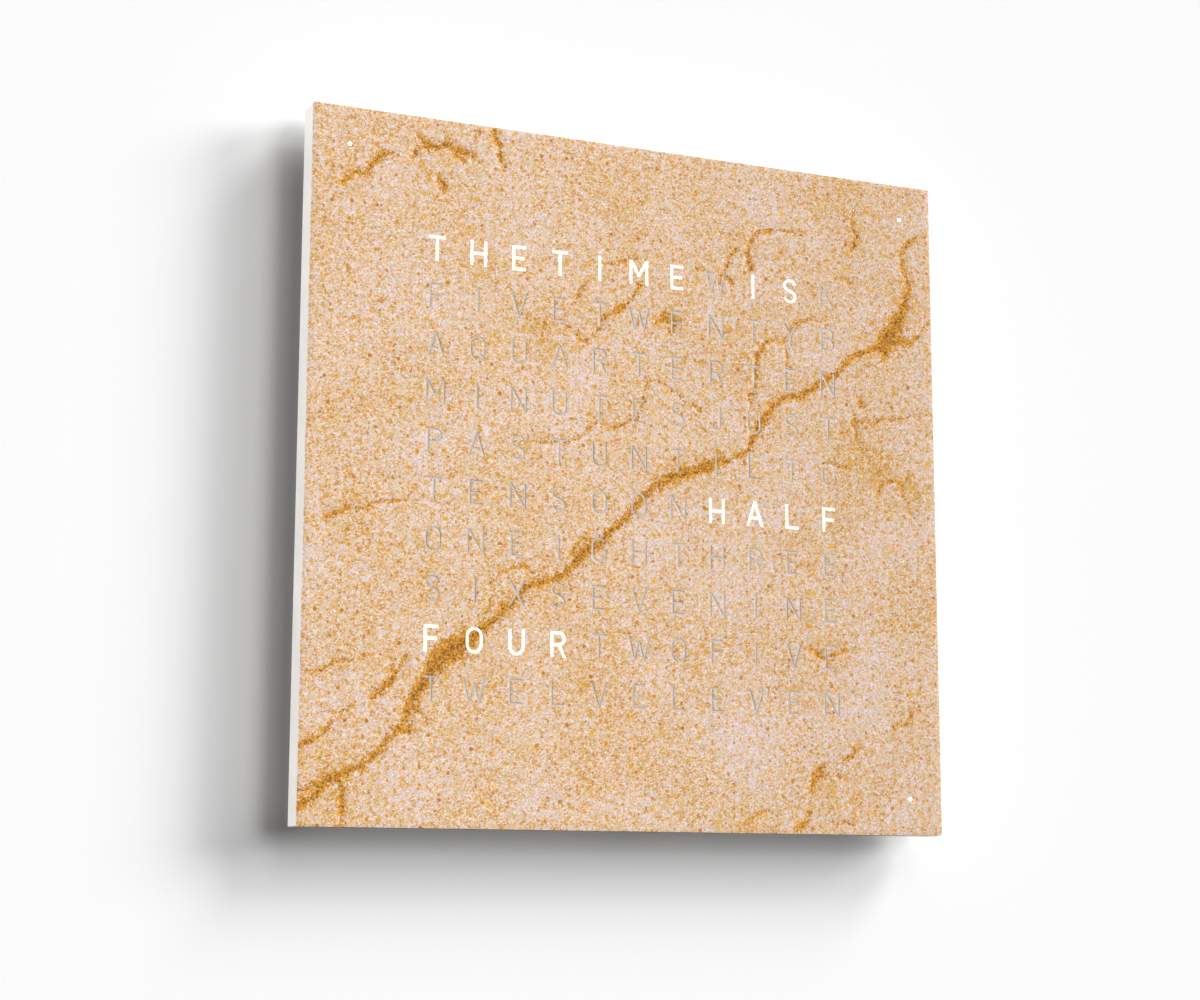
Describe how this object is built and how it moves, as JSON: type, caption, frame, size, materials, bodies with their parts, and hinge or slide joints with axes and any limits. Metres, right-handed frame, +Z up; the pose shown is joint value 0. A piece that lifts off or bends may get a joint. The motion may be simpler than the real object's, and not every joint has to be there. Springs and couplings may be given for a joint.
{
  "type": "wall clock",
  "caption": "Square wall clock with a stone front: light through letter cut-outs spells the time, and a lit dot near each corner adds single minutes.",
  "frame": {"origin": "centre of the wall plane that the rear rim of the case rests on", "axes": "+Y points into the wall, +X to the viewer's right, +Z up; the face looks along -Y"},
  "size_m": [0.4508, 0.018, 0.45],
  "materials": {
    "cream_lacquer": "satin",
    "sandstone": "matte",
    "cover_steel": "satin",
    "opal_diffuser": "satin",
    "coated_sheet": "satin",
    "zinc_steel": "satin",
    "magnet_nickel": "polished",
    "circuit_board": "satin",
    "led_white": "gloss",
    "baffle_white": "matte",
    "black_plastic": "satin",
    "nylon": "satin",
    "cell_steel": "satin",
    "ferrite": "matte",
    "copper_winding": "satin",
    "brass_contact": "polished",
    "lead_jacket": "satin",
    "button_plastic": "satin",
    "clear_pipe": "polished",
    "sensor_black": "gloss"
  },
  "bodies": {
    "case": {"case_frame": "cream_lacquer", "cover_magnets": "magnet_nickel", "rear_panel": "coated_sheet", "rear_panel_screws": "zinc_steel", "inlet_housing": "black_plastic", "power_inlet": "black_plastic", "inlet_pin": "brass_contact", "led_board": "circuit_board", "light_baffle": "baffle_white", "letter_leds": "led_white", "corner_boards": "circuit_board", "corner_leds": "led_white", "corner_cups": "baffle_white", "controller_board": "circuit_board", "processor_chip": "black_plastic", "driver_chips": "black_plastic", "cell_holder": "black_plastic", "coin_cell": "cell_steel", "board_standoffs": "nylon", "antenna_rod": "ferrite", "antenna_coil": "copper_winding", "antenna_clips": "nylon", "switch_housings": "black_plastic", "button_board": "circuit_board", "light_sensor": "sensor_black", "sensor_window": "clear_pipe", "board_connectors": "nylon", "board_link": "lead_jacket", "inlet_lead": "lead_jacket", "button_lead": "lead_jacket", "corner_leads": "lead_jacket"},
    "cover": {"cover_plate": "cover_steel", "stone_veneer": "sandstone", "diffuser_sheet": "opal_diffuser", "locating_tabs": "zinc_steel"},
    "button_hours": {"button_cap_hours": "button_plastic", "switch_plunger_hours": "black_plastic"},
    "button_minutes": {"button_cap_minutes": "button_plastic", "switch_plunger_minutes": "black_plastic"},
    "button_mode": {"button_cap_mode": "button_plastic", "switch_plunger_mode": "black_plastic"}
  },
  "joints": [
    {"name": "cover_lift_off", "type": "slide", "parent": "case", "child": "cover", "axis": [0, -1, 0], "range_m": [0, 0.03]},
    {"name": "press_hours", "type": "slide", "parent": "case", "child": "button_hours", "axis": [-1, 0, 0], "range_m": [0, 0.0006], "stiffness_N_per_m": 2500, "springref_m": -0.0002},
    {"name": "press_minutes", "type": "slide", "parent": "case", "child": "button_minutes", "axis": [-1, 0, 0], "range_m": [0, 0.0006], "stiffness_N_per_m": 2500, "springref_m": -0.0002},
    {"name": "press_mode", "type": "slide", "parent": "case", "child": "button_mode", "axis": [-1, 0, 0], "range_m": [0, 0.0006], "stiffness_N_per_m": 2500, "springref_m": -0.0002}
  ]
}
